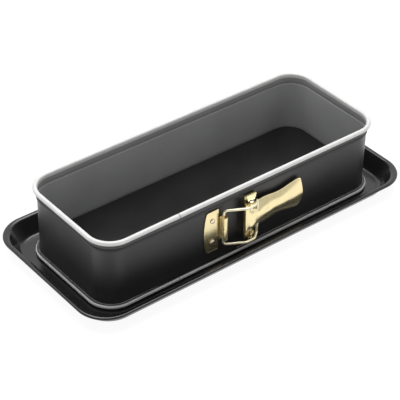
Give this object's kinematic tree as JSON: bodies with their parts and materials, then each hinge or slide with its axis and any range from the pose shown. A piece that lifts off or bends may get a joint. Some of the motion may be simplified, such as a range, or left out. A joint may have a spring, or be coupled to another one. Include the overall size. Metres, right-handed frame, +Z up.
{
  "type": "springform loaf pan",
  "caption": "Loaf pan with a sprung side band that an over-centre lever latch draws shut round the raised floor of a tray with a drip gutter.",
  "frame": {"origin": "middle of the pan's footprint, on the surface that the pan stands on", "axes": "+X along the pan towards the end that the lever points at, -Y out of the side with the latch, +Z up out of the pan"},
  "size_m": [0.3524, 0.163, 0.0717],
  "materials": {
    "tray_nonstick": "glossy black non-stick coating on steel",
    "band_nonstick": "satin dark grey non-stick coating on steel, rolled edges bare",
    "latch_brass": "polished, brass-plated steel",
    "rivet_brass": "polished, brass-plated steel"
  },
  "bodies": {
    "base": {"base_tray": "tray_nonstick"},
    "band": {"band_main": "band_nonstick", "latch_bracket": "latch_brass", "bracket_rivet_lower": "rivet_brass", "bracket_rivet_upper": "rivet_brass", "lever_pin": "rivet_brass"},
    "arm": {"band_arm": "band_nonstick", "keeper_plate": "latch_brass", "keeper_rivet_lower": "rivet_brass", "keeper_rivet_upper": "rivet_brass"},
    "lever": {"lever": "latch_brass"},
    "bail": {"bail": "latch_brass"}
  },
  "joints": [
    {"name": "band_lift", "type": "slide", "parent": "base", "child": "band", "axis": [0, 0, 1], "range_m": [0, 0.08]},
    {"name": "arm_flex", "type": "hinge", "parent": "band", "child": "arm", "pos_m": [-0.13, 0.05995, 0.0364], "axis": [0, 0, -1], "range_deg": [0, 2]},
    {"name": "lever_pivot", "type": "hinge", "parent": "band", "child": "lever", "pos_m": [-0.0035, -0.06565, 0.0372], "axis": [0, 0, -1], "range_deg": [0, 90]},
    {"name": "bail_pivot", "type": "hinge", "parent": "lever", "child": "bail", "pos_m": [0.0046, -0.06465, 0.0372], "axis": [0, 0, -1], "range_deg": [-80.1, 0]}
  ],
  "couplings": [
    {"joint": "arm_flex", "follows": "lever_pivot", "ratio": 0.0222},
    {"joint": "bail_pivot", "follows": "lever_pivot", "ratio": -0.89}
  ]
}
